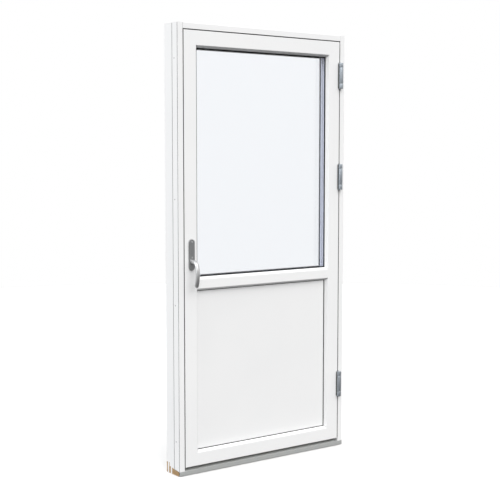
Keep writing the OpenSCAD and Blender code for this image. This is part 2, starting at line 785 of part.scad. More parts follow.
face_screw_l = 34;
face_screw_d = lock_d - 2;
face_screw_z = [face_low + 15, bolt_z[0] + 180, bolt_z[0] + 460,
                bolt_z[1] + 180, bolt_z[1] + 460, face_high - 18];
module faceplate_screw_bodies() for (z = face_screw_z) {
    bar_x(-leaf_edge, -leaf_edge + face_screw_l, face_screw_d, z, wood_screw_r);
    translate([-leaf_edge, face_screw_d, z]) rotate([0, 90, 0])
        cylinder(r1 = screw_head_r, r2 = wood_screw_r, h = screw_head_h);
}

module faceplate_screws() color(steel) placed() faceplate_screw_bodies();

// Folded guide that carries a bolt behind its window in the faceplate
guide_t = 1.5;
guide_l = 8;
module bolt_guide(z) {
    d0 = bolt_d - bolt_t / 2 - slide_gap;
    h = bolt_h / 2 + slide_gap;
    difference() {
        box([-leaf_edge + face_t, d0 - guide_t, z - h - guide_t],
            [-leaf_edge + face_t + guide_l, bolt_d + bolt_t / 2, z + h + guide_t]);
        box([-leaf_edge + face_t - eps, d0, z - h],
            [-leaf_edge + face_t + guide_l + eps, bolt_d + bolt_t, z + h]);
    }
}

module lock_faceplate() color(steel) placed() {
    difference() {
        faceplate_blank(0);
        faceplate_screw_bodies();
        for (z = bolt_z)
            box([-leaf_edge - eps, bolt_d - bolt_t / 2 - slide_gap, z - bolt_h / 2 - slide_gap],
                [-leaf_edge + face_t + eps, bolt_d + bolt_t / 2 + slide_gap, z + bolt_h / 2 + slide_gap]);
    }
    for (z = bolt_z) bolt_guide(z);
}

// Flat bolt with the pin that follows the slanted slot of the drive rod
module bolt(z) color(steel) placed() {
    nose = 1.5;
    d0 = bolt_d - bolt_t / 2;
    d1 = bolt_d + bolt_t / 2;
    translate([0, 0, z - bolt_h / 2]) linear_extrude(bolt_h) polygon([
        [bolt_from, d0 + nose], [bolt_from + nose, d0], [bolt_to, d0],
        [bolt_to, d1], [bolt_from + nose, d1], [bolt_from, d1 - nose]
    ]);
    bar_y(drive_pin_x, z, d1 - eps, rod_d + rod_t, drive_pin_r);
}

module bolt_bottom() bolt(bolt_z[0]);
module bolt_middle() bolt(bolt_z[1]);
module bolt_top() bolt(bolt_z[2]);

// Slanted slot, drawn in x and height, that turns rod travel into bolt throw
slot_lean = atan2(rod_travel, bolt_throw);
slot_steps = 12;
function half_turn(from, r) = [for (k = [0 : slot_steps]) polar(r, from + 180 * k / slot_steps)];
module drive_slot(z) translate([drive_pin_x, z]) {
    r = drive_pin_r + slot_gap;
    upper = [for (p = half_turn(slot_lean - 90, r)) p + [bolt_throw, rod_travel]];
    polygon(concat(upper, half_turn(slot_lean + 90, r)));
}

pitch = PI * gear_m;
pressure = 20;
rack_teeth = [-2, 5];
module rack_outline() {
    half = pitch / 4 - backlash / 2;
    root_half = half + dedendum * tan(pressure);
    tip_half = half - addendum * tan(pressure);
    for (k = [rack_teeth[0] : rack_teeth[1]]) translate([rack_x, lever_z + (k + 0.5) * pitch]) polygon([
        [-dedendum - eps, -root_half], [-dedendum, -root_half], [addendum, -tip_half],
        [addendum, tip_half], [-dedendum, root_half], [-dedendum - eps, root_half]
    ]);
}

module drive_rod() color(steel) placed() through(rod_d, rod_d + rod_t) {
    difference() {
        translate([rod_from, rod_low]) square([rod_to - rod_from, rod_high - rod_low]);
        for (z = bolt_z) drive_slot(z);
    }
    rack_outline();
}

// Involute tooth: half angle of the tooth at a radius
function involute(a) = tan(a) * 180 / PI - a;
base_r = gear_r * cos(pressure);
function tooth_half(r) = 90 / gear_n + involute(pressure) - involute(acos(min(1, base_r / r)));
function polar(r, a) = r * [cos(a), sin(a)];
tooth_r = [gear_r - dedendum, base_r, gear_r - gear_m / 4, gear_r,
           gear_r + addendum / 2, gear_r + addendum];
function tooth(mid) = concat(
    [for (r = tooth_r) polar(r, mid - tooth_half(r))],
    [for (i = [len(tooth_r) - 1 : -1 : 0]) polar(tooth_r[i], mid + tooth_half(tooth_r[i]))]
);
module pinion_outline() polygon([for (k = [0 : gear_n - 1]) each tooth(180 + k * 360 / gear_n)]);

journal_r = 6;
case_gap = 0.3;
module drive_pinion() color(steel) placed() difference() {
    gear_to = rod_d + rod_t;
    gear_from = gear_to - pinion_t;
    inner = lock_d - case_t / 2 + case_wall + 0.1;
    union() {
        through(gear_from, gear_to) translate([lever_x, lever_z]) pinion_outline();
        bar_y(lever_x, lever_z, inner, gear_from, hub_r);
        bar_y(lever_x, lever_z, lock_d - case_t / 2, lock_d + case_t / 2, journal_r);
    }
    spindle_body();
}

module lock_case() color(steel) placed() difference() {
    d0 = lock_d - case_t / 2;
    d1 = lock_d + case_t / 2;
    box([case_from, d0, case_low], [case_to, d1, case_high]);
    box([case_from - eps, d0 + case_wall, case_low + case_wall],
        [case_to - case_wall, d1 - case_wall, case_high - case_wall]);
    box([case_from - eps, d0 + case_wall, case_low - eps],
        [rod_to + 0.6, d1 - case_wall, case_high + eps]);
    bar_y(lever_x, lever_z, d0 - eps, d1 + eps, journal_r + case_gap);
    bar_y(lever_x, plate_screw_z[0], d0 - eps, d1 + eps, plate_screw_r + 0.2);
}

// ---- handle --------------------------------------------------------------

// Round-ended plate outline, drawn in x and height
module plate_outline(w) translate([lever_x, lever_z + plate_rise]) {
    translate([-w / 2, -plate_h / 2 + w / 2]) square([w, plate_h - w]);
    for (s = [-1, 1]) translate([0, s * (plate_h - w) / 2]) circle(w / 2);
}

plate_head_r = 4.5;
plate_head_in = 1.5;
plate_thread = 6;
module plate_screw_bodies() for (z = plate_screw_z) {
    bar_y(lever_x, z, -handle_plate_t - 1, -handle_plate_t + plate_head_in, plate_head_r);
    bar_y(lever_x, z, -handle_plate_t, leaf_t + plate_thread, plate_screw_r);
}

module handle_screws() color(steel) placed() plate_screw_bodies();

module handle_plate_outer() color(grey_metal) placed() difference() {
    through(-handle_plate_t, 0) plate_outline(plate_w);
    bar_y(lever_x, lever_z, -handle_plate_t - eps, eps, neck_r + run_gap);
    plate_screw_bodies();
}

module handle_plate_inner() color(grey_metal) placed() difference() {
    through(leaf_t, leaf_t + handle_plate_t) plate_outline(inner_plate_w);
    bar_y(lever_x, lever_z, leaf_t - eps, leaf_t + handle_plate_t + eps, neck_r + run_gap);
    plate_screw_bodies();
}

spindle_in = 6;
module spindle_body() box(
    [lever_x - spindle_s / 2, -neck_out + spindle_in, lever_z - spindle_s / 2],
    [lever_x + spindle_s / 2, leaf_t + neck_out - spindle_in, lever_z + spindle_s / 2]);

module spindle() color(steel) placed() spindle_body();

// Bent stretch of the lever bar, in the plane through the lever axis. Angles
// run from straight up towards the outside.
module bent_bar(r, d, z, from, to, bar_r) translate([lever_x, d, z]) rotate([180, -90, 0])
    rotate([0, 0, from]) rotate_extrude(angle = to - from) translate([r, 0]) circle(bar_r);

grip_shift = grip_r - bend_r;
grip_d = -neck_out + grip_shift * sin(bend_angle);
grip_z = lever_z - bend_r - grip_shift * cos(bend_angle);
tip_angle = bend_angle + grip_angle;
// The grip is a little slimmer than the bend, and its ball end a little fuller
grip_bar_r = lever_r - 0.1;
ball_r = lever_r + 0.2;
root_angle = 6;
lap_angle = 0.3;
module lever_body() {
    bar_y(lever_x, lever_z, -neck_out + 1, -1, neck_r);
    bent_bar(bend_r, -neck_out, lever_z - bend_r, -root_angle, bend_angle, lever_r);
    bent_bar(grip_r, grip_d, grip_z, bend_angle - lap_angle, tip_angle, grip_bar_r);
    translate([lever_x, grip_d - grip_r * sin(tip_angle), grip_z + grip_r * cos(tip_angle)])
        sphere(ball_r);
}

module lever_outer() color(grey_metal) placed() difference() {
    lever_body();
    spindle_body();
}

module lever_inner() color(grey_metal) placed() difference() {
    translate([0, leaf_t, 0]) mirror([0, 1, 0]) lever_body();
    spindle_body();
}

left_jamb();
right_jamb();
head();
threshold();
threshold_cover();
frame_seal();
strike_plates();
strike_screws();
hinge_frame_plate(hinge_z[0]);  // hinge_frame_plate_bottom
hinge_frame_plate(hinge_z[1]);  // hinge_frame_plate_middle
hinge_frame_plate(hinge_z[2]);  // hinge_frame_plate_top
hinge_pins();
hinge_washers();
frame_hinge_screws();
lock_stile();
hinge_stile();
top_rail();
mid_rail();
bottom_rail();
joint_dowels();
outer_pane();
middle_pane();
inner_pane();
outer_spacer();
inner_spacer();
edge_sealant();
glass_gasket_front();
glass_gasket_back();
glass_bead_top();
glass_bead_bottom();
glass_side_beads();
panel_front_sheet();
panel_core();
panel_back_sheet();
panel_gasket_front();
panel_gasket_back();
panel_bead_top();
panel_bead_bottom();
panel_side_beads();
setting_blocks();
hinge_leaf_plate(hinge_z[0]);  // hinge_leaf_plate_bottom
hinge_leaf_plate(hinge_z[1]);  // hinge_leaf_plate_middle
hinge_leaf_plate(hinge_z[2]);  // hinge_leaf_plate_top
leaf_hinge_screws();
lock_case();
lock_faceplate();
faceplate_screws();
handle_plate_outer();
handle_plate_inner();
handle_screws();
spindle();
drive_pinion();
lever_outer();
lever_inner();
bolt_bottom();
bolt_middle();
bolt_top();
drive_rod();
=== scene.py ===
import math

import bmesh
import bpy
from mathutils import Matrix, Vector


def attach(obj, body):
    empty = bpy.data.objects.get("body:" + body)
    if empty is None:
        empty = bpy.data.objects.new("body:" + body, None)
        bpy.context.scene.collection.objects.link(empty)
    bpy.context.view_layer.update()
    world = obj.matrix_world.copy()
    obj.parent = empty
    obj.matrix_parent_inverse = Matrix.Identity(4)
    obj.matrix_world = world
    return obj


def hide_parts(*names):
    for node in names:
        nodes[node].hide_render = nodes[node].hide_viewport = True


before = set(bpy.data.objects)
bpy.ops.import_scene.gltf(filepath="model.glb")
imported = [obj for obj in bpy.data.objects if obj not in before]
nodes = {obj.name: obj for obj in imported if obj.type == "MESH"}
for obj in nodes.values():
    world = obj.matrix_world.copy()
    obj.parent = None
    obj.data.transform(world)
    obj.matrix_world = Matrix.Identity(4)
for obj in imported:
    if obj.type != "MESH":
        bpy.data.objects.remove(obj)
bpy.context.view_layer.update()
bpy.ops.object.select_all(action="DESELECT")

# ---- studio ---------------------------------------------------------------
# A camera with a long lens stands outside, left of the door, at eye height.
# One broad lamp shines from above the front, weaker ones from left and behind.
# The room is white above the horizon and dim below it.

bpy.ops.object.camera_add(location=(-3.11521, -4.22074, 1.47608),
                          rotation=(math.radians(85.1596), 0, math.radians(-35.9817)))
camera = bpy.context.object
camera.data.lens = 77.635
camera.data.sensor_width = 36
camera.data.clip_end = 200
bpy.context.scene.camera = camera
bpy.context.scene.view_settings.view_transform = "Standard"


def lamp(towards, strength, width, colour):
    """A far, soft lamp that shines on the door from the given side."""
    turn = Vector(towards).to_track_quat("Z", "Y").to_euler()
    bpy.ops.object.light_add(type="SUN", location=Vector(towards) * 6, rotation=turn)
    bpy.context.object.data.energy = strength
    bpy.context.object.data.angle = math.radians(width)
    bpy.context.object.data.color = colour
    bpy.context.object.visible_transmission = False


lamp((-0.08, -0.69, 0.68), 2.1, 50, (1.0, 0.99, 0.98))
lamp((-0.90, 0.15, 0.40), 1.50, 50, (0.97, 0.985, 1.0))
lamp((0.62, 0.70, 0.35), 0.75, 60, (1.0, 1.0, 1.0))

room = bpy.data.worlds.new("room")
room.use_nodes = True
bpy.context.scene.world = room
net = room.node_tree
light = net.nodes["Background"]
light.inputs["Color"].default_value = (1, 1, 1, 1)
ray = net.nodes.new("ShaderNodeLightPath")
direct = net.nodes.new("ShaderNodeMath")
direct.operation = "MAXIMUM"
net.links.new(ray.outputs["Is Camera Ray"], direct.inputs[0])
net.links.new(ray.outputs["Is Transmission Ray"], direct.inputs[1])
side = net.nodes.new("ShaderNodeTexCoord")
height = net.nodes.new("ShaderNodeSeparateXYZ")
net.links.new(side.outputs["Generated"], height.inputs[0])
glow = net.nodes.new("ShaderNodeMapRange")
glow.inputs["From Min"].default_value = -0.25
glow.inputs["From Max"].default_value = 0.35
glow.inputs["To Min"].default_value = 0.12
glow.inputs["To Max"].default_value = 1.1
net.links.new(height.outputs["Z"], glow.inputs["Value"])
seen = net.nodes.new("ShaderNodeMix")
net.links.new(direct.outputs[0], seen.inputs["Factor"])
net.links.new(glow.outputs[0], seen.inputs["A"])
seen.inputs["B"].default_value = 1.0
net.links.new(seen.outputs[0], light.inputs["Strength"])

bpy.ops.mesh.primitive_circle_add(vertices=96, radius=7.5, fill_type="NGON",
                                  location=(0, 0, -0.0005))
floor = bpy.context.object
floor.name = "floor"
pale = bpy.data.materials.new("pale_floor")
pale.use_nodes = True
pale.node_tree.nodes["Principled BSDF"].inputs["Base Color"].default_value = (0.72, 0.72, 0.72, 1)
pale.node_tree.nodes["Principled BSDF"].inputs["Roughness"].default_value = 0.9
floor.data.materials.append(pale)
floor.visible_diffuse = False
floor.visible_glossy = False

# ---- jambs and head -------------------------------------------------------
# The outer frame is planed softwood, grooved down its back and sides, glued
# and screwed at the corners, then sprayed with satin white paint. Long faint
# fibres and a fine peel still show through the film.


class Finish:
    """A material with its shader, and patterns laid on object coordinates."""

    def __init__(self, name):
        self.made = bpy.data.materials.new(name)
        self.made.use_nodes = True
        self.net = self.made.node_tree
        self.shader = self.net.nodes["Principled BSDF"]
        self.place = self.net.nodes.new("ShaderNodeTexCoord").outputs["Object"]

    def put(self, **values):
        """Fixed numbers and colours, set on the shader's own sockets."""
        for name, value in values.items():
            self.shader.inputs[name.replace("_", " ")].default_value = value
        return self

    def scaled(self, x, y, z, turn=(0, 0, 0)):
        node = self.net.nodes.new("ShaderNodeMapping")
        node.inputs["Scale"].default_value = (x, y, z)
        node.inputs["Rotation"].default_value = turn
        self.net.links.new(self.place, node.inputs["Vector"])
        return node.outputs["Vector"]

    def noise(self, vector, scale=1.0, detail=3.0, rough=0.5, twist=0.0):
        node = self.net.nodes.new("ShaderNodeTexNoise")
        node.inputs["Scale"].default_value = scale
        node.inputs["Detail"].default_value = detail
        node.inputs["Roughness"].default_value = rough
        node.inputs["Distortion"].default_value = twist
        self.net.links.new(vector, node.inputs["Vector"])
        return node.outputs["Fac"]

    def ramp(self, value, *stops):
        node = self.net.nodes.new("ShaderNodeValToRGB")
        band = node.color_ramp
        while len(band.elements) < len(stops):
            band.elements.new(0.5)
        for element, (at, colour) in zip(band.elements, stops):
            element.position = at
            element.color = (*colour, 1)
        self.net.links.new(value, node.inputs["Fac"])
        return node.outputs["Color"]

    def spread(self, value, low, high, start=0.3, end=0.7):
        node = self.net.nodes.new("ShaderNodeMapRange")
        for name, number in (("From Min", start), ("From Max", end),
                             ("To Min", low), ("To Max", high)):
            node.inputs[name].default_value = number
        self.net.links.new(value, node.inputs["Value"])
        return node.outputs["Result"]

    def painted_hollow_shade(self, colour, reach, grey=0.22):
        """The colour, darkened by painted shade in the piece's own grooves and at the mouth of the
        gap near the front face.
        """
        # Painted shade: the piece's own narrow grooves darken the colour.
        groove = self.net.nodes.new("ShaderNodeAmbientOcclusion")
        groove.only_local = True
        groove.inputs["Distance"].default_value = reach
        shade = self.spread(groove.outputs["AO"], grey, 1, 0.32, 0.95)
        # Painted shade: the mouth of the gap between parts darkens near the front face.
        gap = self.net.nodes.new("ShaderNodeAmbientOcclusion")
        gap.inputs["Distance"].default_value = 0.010
        gap_shade = self.spread(gap.outputs["AO"], 0.96, 0, 0.36, 0.88)
        depth = self.net.nodes.new("ShaderNodeSeparateXYZ")
        self.net.links.new(self.place, depth.inputs[0])
        front = self.spread(depth.outputs["Y"], 1, 0, -0.050, -0.036)
        gap_unshaded = self.blend(self.blend(gap_shade, front, "MULTIPLY"), 1.0, "SUBTRACT", swap=True)
        both = self.net.nodes.new("ShaderNodeMix")
        both.data_type = "RGBA"
        both.blend_type = "MULTIPLY"
        both.inputs["Factor"].default_value = 1.0
        self.net.links.new(colour, both.inputs["A"])
        self.net.links.new(self.blend(shade, gap_unshaded, "MULTIPLY"), both.inputs["B"])
        return both.outputs["Result"]

    def blend(self, first, second, way, swap=False):
        """Two values, or a value and a number, put together by one sum."""
        node = self.net.nodes.new("ShaderNodeMath")
        node.operation = way
        for value, into in zip((first, second), (1, 0) if swap else (0, 1)):
            if isinstance(value, float):
                node.inputs[into].default_value = value
            else:
                self.net.links.new(value, node.inputs[into])
        return node.outputs[0]

    def relief(self, value, depth, strength=1.0):
        """Adds a bump of that depth in metres on top of the ones before it."""
        node = self.net.nodes.new("ShaderNodeBump")
        node.inputs["Distance"].default_value = depth
        node.inputs["Strength"].default_value = strength
        self.net.links.new(value, node.inputs["Height"])
        into = self.shader.inputs["Normal"]
        if into.is_linked:
            self.net.links.new(into.links[0].from_socket, node.inputs["Normal"])
        self.net.links.new(node.outputs["Normal"], into)
        return self

    def link(self, value, name):
        self.net.links.new(value, self.shader.inputs[name])
        return self

    def tone(self, value, dark, pale, start=0.3, end=0.7):
        """Lets the colour follow a pattern between two tones."""
        return self.link(self.ramp(value, (start, dark), (end, pale)), "Base Color")


def dress(names, finish):
    """Gives a finish to each named CAD node."""
    for name in names.split():
        for slot in nodes[name].material_slots:
            slot.material = finish.made


def soften(names, width, steps=2):
    """Rounds the sharp edges of each named CAD node by a live bevel."""
    for name in names.split():
        weld = nodes[name].modifiers.new("weld", "WELD")
        weld.merge_threshold = 0.00001
        rounding = nodes[name].modifiers.new("rounding", "BEVEL")
        rounding.width = width
        rounding.segments = steps
        rounding.limit_method = "ANGLE"
        rounding.angle_limit = math.radians(40)
        rounding.harden_normals = False


def painted_timber(name, grain):
    """Satin white paint over timber whose fibres run as the grain says, with shade painted into
    its grooves and at the mouth of the gap.
    """
    paint = Finish(name).put(Specular_IOR_Level=0.45, Coat_Weight=0.06, Coat_Roughness=0.25)
    fibres = paint.noise(paint.scaled(*grain), detail=4, rough=0.6, twist=0.4)
    peel = paint.noise(paint.place, 620, 2)
    broad = paint.noise(paint.place, 2.3, 2)
    film = paint.ramp(broad, (0.3, (0.822, 0.827, 0.832)), (0.7, (0.846, 0.849, 0.852)))
    # The film's colour is darkened by painted shade in grooves and at the gap's mouth.
    paint.link(paint.painted_hollow_shade(film, 0.009), "Base Color")
    paint.link(paint.spread(fibres, 0.36, 0.46), "Roughness")
    return paint.relief(fibres, 0.00010, 0.35).relief(peel, 0.00006, 0.25)


upright_paint = painted_timber("white_paint_upright", (150, 150, 2.2))
level_paint = painted_timber("white_paint_level", (2.2, 150, 150))
dress("left_jamb right_jamb", upright_paint)
dress("head", level_paint)
soften("left_jamb right_jamb head", 0.0007)

# ---- threshold ------------------------------------------------------------
# An oiled oak sill stands between the jambs and is tenoned through them, so
# its end grain shows at both sides. Year rings run along its length.

oak = Finish("oiled_oak").put(Specular_IOR_Level=0.4)
rings = oak.noise(oak.scaled(1.1, 75, 75), detail=3, rough=0.55, twist=1.2)
pores = oak.noise(oak.scaled(14, 1500, 1500), detail=2, rough=0.6)
oak_colour = oak.net.nodes.new("ShaderNodeMix")
oak_colour.data_type = "RGBA"
oak_colour.blend_type = "MULTIPLY"
oak_colour.inputs["Factor"].default_value = 0.55
year_tone = oak.ramp(rings, (0.30, (0.31, 0.195, 0.092)), (0.5, (0.43, 0.285, 0.145)),
                     (0.72, (0.52, 0.365, 0.205)))
pore_tone = oak.ramp(pores, (0.36, (0.45, 0.33, 0.22)), (0.52, (1, 1, 1)))
oak.net.links.new(year_tone, oak_colour.inputs["A"])
oak.net.links.new(pore_tone, oak_colour.inputs["B"])
oak.link(oak_colour.outputs["Result"], "Base Color")
oak.link(oak.spread(rings, 0.42, 0.58), "Roughness")
oak.relief(pores, 0.00012, 0.5)
dress("threshold", oak)
soften("threshold", 0.0008)

# ---- threshold cover ------------------------------------------------------
# A thin anodised aluminium rail is hooked over the nose of the sill to take
# the wear. It is drawn lengthwise, so fine lines run from jamb to jamb.

aluminium = Finish("anodised_aluminium").put(Metallic=0.55, Base_Color=(0.60, 0.615, 0.605, 1))
drawn = aluminium.noise(aluminium.scaled(3, 900, 900), detail=2)
aluminium.link(aluminium.spread(drawn, 0.38, 0.50), "Roughness").relief(drawn, 0.00003, 0.5)
dress("threshold_cover", aluminium)
soften("threshold_cover", 0.0004)

# ---- strike plates --------------------------------------------------------
# Three zinc plated steel plates are let into the lock side jamb, one at each
# bolt, and held by two countersunk screws each.

zinc = Finish("zinc_plated_steel").put(Metallic=1.0)
spangle = zinc.noise(zinc.place, 260, 3, 0.6, 0.8)
zinc.tone(spangle, (0.46, 0.48, 0.50), (0.60, 0.62, 0.63), 0.35, 0.65)
zinc.link(zinc.spread(spangle, 0.26, 0.40), "Roughness")
dress("strike_plates", zinc)
soften("strike_plates", 0.0003)


def added():
    """The object just added, with its place put into its mesh."""
    bpy.ops.object.transform_apply(location=True, rotation=True, scale=True)
    return bpy.context.object


def pick(test, kind="faces"):
    """In edit mode, selects only the faces or points that pass the test."""
    bpy.ops.mesh.select_all(action="DESELECT")
    bpy.ops.mesh.select_mode(type="FACE" if kind == "faces" else "VERT")
    shape = bmesh.from_edit_mesh(bpy.context.object.data)
    for item in getattr(shape, "verts" if kind == "points" else "faces"):
        if test(item):
            item.select_set(True)
    shape.select_flush_mode()
    bmesh.update_edit_mesh(bpy.context.object.data)


def pull(way, size=None, about=(0, 0, 0)):
    """Extrudes the picked faces that way, then sizes their far end."""
    bpy.ops.mesh.extrude_region_move(TRANSFORM_OT_translate={"value": way})
    if size:
        bpy.ops.transform.resize(value=size, center_override=about)


def leave(name, corner=35):
    """Ends the edit, turns faces outwards and shades the curved ones smooth."""
    piece = bpy.context.object
    bpy.ops.mesh.select_all(action="SELECT")
    bpy.ops.mesh.remove_doubles(threshold=0.000001)
    bpy.ops.mesh.normals_make_consistent(inside=False)
    bpy.ops.object.mode_set(mode="OBJECT")
    bpy.ops.object.shade_smooth_by_angle(angle=math.radians(corner))
    piece.name = name
    piece.data.name = name
    return piece


def wood_screw(length, name):
    """A countersunk screw with a six-lobed recess, its head at x = 0, facing +x."""
    shank, head, deep = 0.0020, 0.0040, 0.0020
    bpy.ops.mesh.primitive_cone_add(vertices=24, radius1=shank, radius2=head, depth=deep,
                                    location=(-deep / 2, 0, 0), rotation=(0, math.pi / 2, 0))
    added()
    bpy.ops.object.mode_set(mode="EDIT")
    pick(lambda face: face.normal.x < -0.9)
    pull((-(length - deep - 0.005), 0, 0))
    pull((-0.005, 0, 0), (1, 0.12, 0.12))
    pick(lambda face: face.normal.x > 0.9)
    bpy.ops.mesh.inset(thickness=0.0014)
    pick(lambda point: point.co.x > -0.00001 and 0.001 < point.co.yz.length < 0.003
         and round(math.degrees(math.atan2(point.co.z, point.co.y)) / 15) % 4 == 2, "points")
    bpy.ops.transform.resize(value=(1, 0.74, 0.74), center_override=(0, 0, 0))
    pick(lambda face: face.normal.x > 0.9 and face.calc_center_median().yz.length < 0.0005)
    pull((-0.0013, 0, 0), (1, 0.86, 0.86))
    return leave(name)


def copies(piece, name, places, turn=0.0):
    """Copies of a piece, each with its own mesh, put at the places and joined."""
    made = []
    for place in places:
        copy = piece.copy()
        copy.data = piece.data.copy()
        copy.data.transform(Matrix.Translation(place) @ Matrix.Rotation(turn, 4, "Z"))
        bpy.context.scene.collection.objects.link(copy)
        made.append(copy)
    bpy.ops.object.select_all(action="DESELECT")
    for copy in made:
        copy.select_set(True)
    bpy.context.view_layer.objects.active = made[0]
    bpy.ops.object.join()
    joined = bpy.context.object
    joined.name = name
    joined.data.name = name
    bpy.ops.object.select_all(action="DESELECT")
    return joined


def fitted(piece, body, slot, finish, *stands_for):
    """Gives a piece its finish and body, and hides the CAD nodes it stands for. Its slot is not
    used.
    """
    piece.data.materials.clear()
    piece.data.materials.append(finish.made)
    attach(piece, body)
    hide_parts(*stands_for)
    return piece


strike_face, bolt_line = -0.467, -0.0275
short_screw = wood_screw(0.022, "short_screw")
fitted(copies(short_screw, "strike_wood_screws",
              [(strike_face, bolt_line, z) for z in (0.267, 0.333, 1.027, 1.093, 1.757, 1.823)]),
       "frame", "zinc_steel", zinc, "strike_screws")

# ---- frame seal -----------------------------------------------------------
# A hollow rubber seal is pressed into a groove all round the rebate and is
# squeezed by the closed leaf.

rubber = Finish("black_rubber").put(Specular_IOR_Level=0.22)
grit = rubber.noise(rubber.place, 900, 2)
rubber.tone(grit, (0.009, 0.009, 0.010), (0.017, 0.017, 0.018))
rubber.link(rubber.spread(grit, 0.55, 0.72), "Roughness").relief(grit, 0.00005, 0.4)


def run_round(name, half, low, high, section):
    """A section carried round an upright rectangle and mitred at its corners.
    Its points are (outwards, into the wall) from the rectangle's own line."""
    middle, rise = (low + high) / 2, (high - low) / 2
    (out, depth), *rest = section
    bpy.ops.mesh.primitive_plane_add(size=2, location=(0, depth, middle),
                                     rotation=(math.pi / 2, 0, 0))
    bpy.context.object.scale = (half + out, rise + out, 1)
    added()
    bpy.ops.object.mode_set(mode="EDIT")
    bpy.ops.mesh.select_all(action="SELECT")
    bpy.ops.mesh.delete(type="ONLY_FACE")
    bpy.ops.mesh.select_all(action="SELECT")
    for wide, deep in rest + [section[0]]:
        bpy.ops.mesh.extrude_edges_move(TRANSFORM_OT_translate={"value": (0, deep - depth, 0)})
        growth = ((half + wide) / (half + out), 1, (rise + wide) / (rise + out))
        bpy.ops.transform.resize(value=growth, center_override=(0, deep, middle))
        out, depth = wide, deep
    return leave(name, 50)


hook = [(-0.0018, 0.0045), (-0.0018, 0.0062), (-0.0008, 0.0066), (-0.0018, 0.0078),
        (-0.0006, 0.0082), (-0.0010, 0.0095), (0.0010, 0.0095), (0.0006, 0.0082),
        (0.0018, 0.0078), (0.0008, 0.0066), (0.0018, 0.0062), (0.0018, 0.0045)]
bulb = [(0.0040, 0.0045), (0.0040, 0.0036), (0.0036, 0.0024), (0.0027, 0.0014), (0.0014, 0.0009),
        (0.0, 0.0008), (-0.0014, 0.0009), (-0.0027, 0.0014), (-0.0036, 0.0024), (-0.0040, 0.0036),
        (-0.0040, 0.0045)]
rebate_half, rebate_low, rebate_high = 0.454, 0.0445, 2.049
fitted(run_round("rebate_bulb_seal", rebate_half, rebate_low, rebate_high, hook + bulb),
       "frame", "seal_rubber", rubber, "frame_seal")

# ---- leaf timber ----------------------------------------------------------
# Two stiles, a top, a middle and a bottom rail, mitred at the outside and
# dowelled and glued behind, painted like the frame.

dress("lock_stile hinge_stile", upright_paint)
dress("top_rail mid_rail bottom_rail", level_paint)
soften("lock_stile hinge_stile top_rail mid_rail bottom_rail", 0.0006)
beech = Finish("beech_dowel").put(Specular_IOR_Level=0.3)
flecks = beech.noise(beech.scaled(60, 700, 700), detail=3)
beech.tone(flecks, (0.52, 0.33, 0.19), (0.66, 0.46, 0.29), 0.35, 0.65)
beech.link(beech.spread(flecks, 0.6, 0.75), "Roughness")
dress("joint_dowels", beech)

# ---- sealed glass unit ----------------------------------------------------
# Three panes of float glass stand 14 mm apart on slim spacer bars, with dark
# sealant behind the bars. Rubber lips lie against it on both sides and wooden
# beads hold it in. The lower panel is held the same way.


def clear_glass(name, colour):
    glass = Finish(name).put(Roughness=0.0, IOR=1.5, Transmission_Weight=1.0, Base_Color=colour)
    clear = glass.net.nodes.new("ShaderNodeBsdfTransparent")
    clear.inputs["Color"].default_value = (0.95, 0.96, 0.965, 1)
    passing = glass.net.nodes.new("ShaderNodeLightPath")
    either = glass.net.nodes.new("ShaderNodeMixShader")
    end = glass.net.nodes["Material Output"]
    glass.net.links.new(passing.outputs["Is Shadow Ray"], either.inputs[0])
    glass.net.links.new(glass.shader.outputs[0], either.inputs[1])
    glass.net.links.new(clear.outputs[0], either.inputs[2])
    glass.net.links.new(either.outputs[0], end.inputs["Surface"])
    return glass


dress("outer_pane middle_pane inner_pane", clear_glass("float_glass", (0.975, 0.982, 0.992, 1)))

bar = Finish("spacer_bar").put(Metallic=0.35)
haze = bar.noise(bar.place, 300, 2)
bar.tone(haze, (0.50, 0.52, 0.62), (0.56, 0.58, 0.68))
bar.link(bar.spread(haze, 0.35, 0.5), "Roughness")
dress("outer_spacer inner_spacer", bar)

putty = Finish("edge_sealant").put(Specular_IOR_Level=0.4)
lumps = putty.noise(putty.place, 180, 3)
putty.tone(lumps, (0.02, 0.02, 0.022), (0.035, 0.035, 0.038))
putty.link(putty.spread(lumps, 0.4, 0.6), "Roughness").relief(lumps, 0.0003, 0.4)
dress("edge_sealant", putty)


def lip_gasket(name, half, low, high, pane, away, hidden, stands_for):
    """A strip behind the timber's edge whose soft lip leans on the pane."""
    lip = [(-0.0011, 0), (-0.0011, 0.0006), (-0.0008, 0.0017), (-0.0002, 0.0025), (0.0006, 0.0029),
           (0.0014, 0.0030), (hidden, 0.0030), (hidden, 0)]
    fitted(run_round(name, half, low, high, [(out, pane + away * off) for out, off in lip]),
           "leaf", "seal_rubber", rubber, stands_for)


outer_face, inner_face = -0.0365, 0.0035
for infill, half, low, high, hidden in (("glass", 0.382, 0.9325, 1.977, 0.019),
                                        ("panel", 0.3845, 0.112, 0.863, 0.0165)):
    lip_gasket(infill + "_outer_lip_gasket", half, low, high, outer_face, -1, hidden,
               infill + "_gasket_front")
    lip_gasket(infill + "_inner_lip_gasket", half, low, high, inner_face, 1, hidden,
               infill + "_gasket_back")
soften("outer_spacer inner_spacer", 0.0008, 2)
dress("glass_bead_top glass_bead_bottom panel_bead_top panel_bead_bottom", level_paint)
dress("glass_side_beads panel_side_beads", upright_paint)
soften("glass_bead_top glass_bead_bottom panel_bead_top panel_bead_bottom", 0.0004)
soften("glass_side_beads panel_side_beads", 0.0004)

# ---- lower panel ----------------------------------------------------------
# A foam board with a smooth painted sheet on each face fills the lower half.
# Plastic setting blocks keep it, and the glass, clear of the timber.

